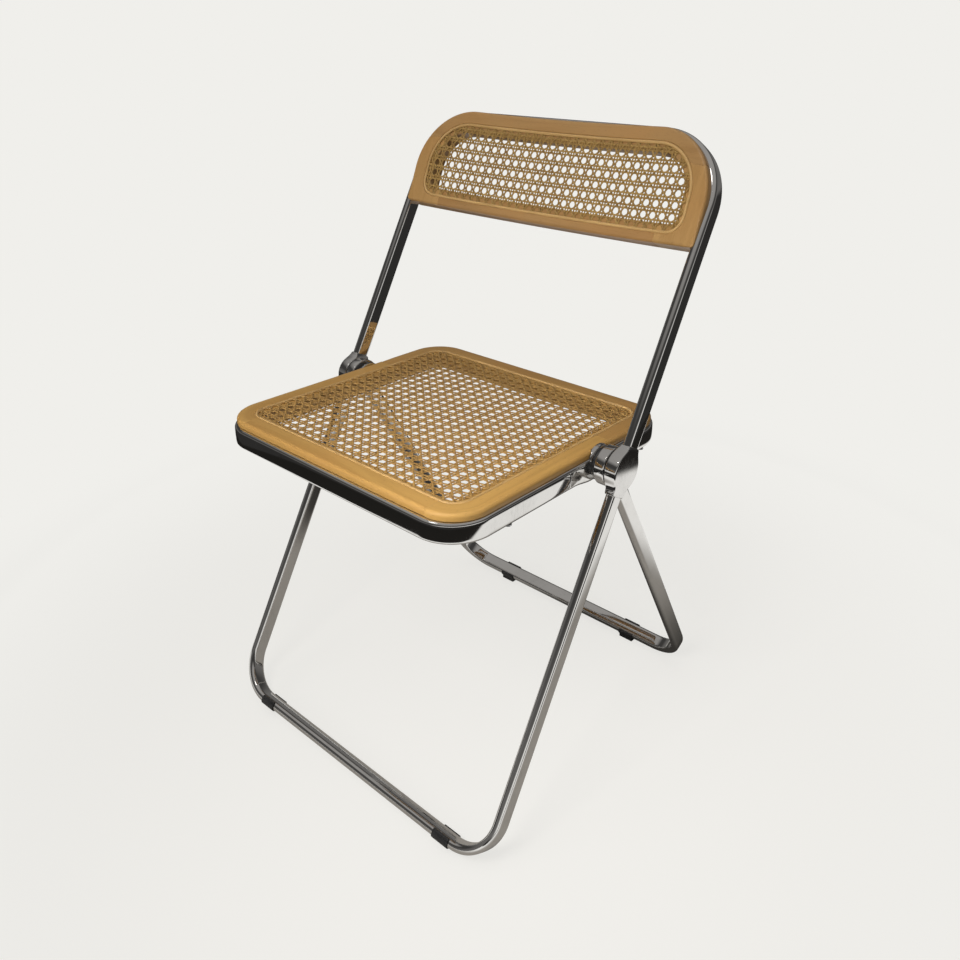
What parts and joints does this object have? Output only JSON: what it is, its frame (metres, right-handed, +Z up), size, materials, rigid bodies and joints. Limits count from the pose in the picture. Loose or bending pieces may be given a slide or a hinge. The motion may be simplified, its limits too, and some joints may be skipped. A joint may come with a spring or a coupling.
{
  "type": "folding chair",
  "caption": "Folding chair with a chromed tube frame, round side hubs, and cane panels in wooden rails for seat and backrest; seat and rear legs fold together.",
  "frame": {"origin": "on the floor under the middle of the chair's overall box, chair standing open", "axes": "+Z up, +X to the right of a viewer who faces the chair's front, front towards -Y"},
  "size_m": [0.468, 0.4604, 0.7442],
  "materials": {
    "chrome_tube": "bright polished chrome plate",
    "chrome_casting": "bright plated casting",
    "black_plastic": "moulded black",
    "steel": "turned and plated",
    "beech": "satin clear lacquer on pale honey wood",
    "cane": "split natural cane, satin",
    "cane_cord": "round reed cord, satin"
  },
  "bodies": {
    "back_frame": {"back_tube": "chrome_tube", "front_leg_tube": "chrome_tube", "hub_outer_left": "chrome_casting", "hub_outer_right": "chrome_casting", "pivot_pin_left": "steel", "pivot_pin_right": "steel", "stop_pins": "steel", "hub_washers": "black_plastic", "hub_spacers": "black_plastic", "front_foot_left": "black_plastic", "front_foot_right": "black_plastic", "backrest_rail_top": "beech", "backrest_rail_bottom": "beech", "backrest_stile_left": "beech", "backrest_stile_right": "beech", "backrest_cane": "cane", "backrest_spline": "cane_cord", "backrest_screws": "steel", "backrest_dowels": "steel"},
    "rear_frame": {"rear_leg_tube": "chrome_tube", "hub_middle_left": "chrome_casting", "hub_middle_right": "chrome_casting", "rear_foot_left": "black_plastic", "rear_foot_right": "black_plastic"},
    "seat_frame": {"seat_tube_front": "chrome_tube", "seat_tube_rear": "chrome_tube", "seat_knuckle_left": "chrome_casting", "seat_knuckle_right": "chrome_casting", "seat_rail_front": "beech", "seat_rail_rear": "beech", "seat_rail_left": "beech", "seat_rail_right": "beech", "seat_cane": "cane", "seat_spline": "cane_cord", "seat_screws": "steel"}
  },
  "joints": [
    {"name": "seat_fold", "type": "hinge", "parent": "back_frame", "child": "seat_frame", "pos_m": [0, 0.0179, 0.406], "axis": [-1, 0, 0], "range_deg": [0, 119]},
    {"name": "rear_leg_fold", "type": "hinge", "parent": "back_frame", "child": "rear_frame", "pos_m": [0, 0.0179, 0.406], "axis": [-1, 0, 0], "range_deg": [0, 58]}
  ],
  "couplings": [
    {"joint": "rear_leg_fold", "follows": "seat_fold", "ratio": 0.4874}
  ]
}
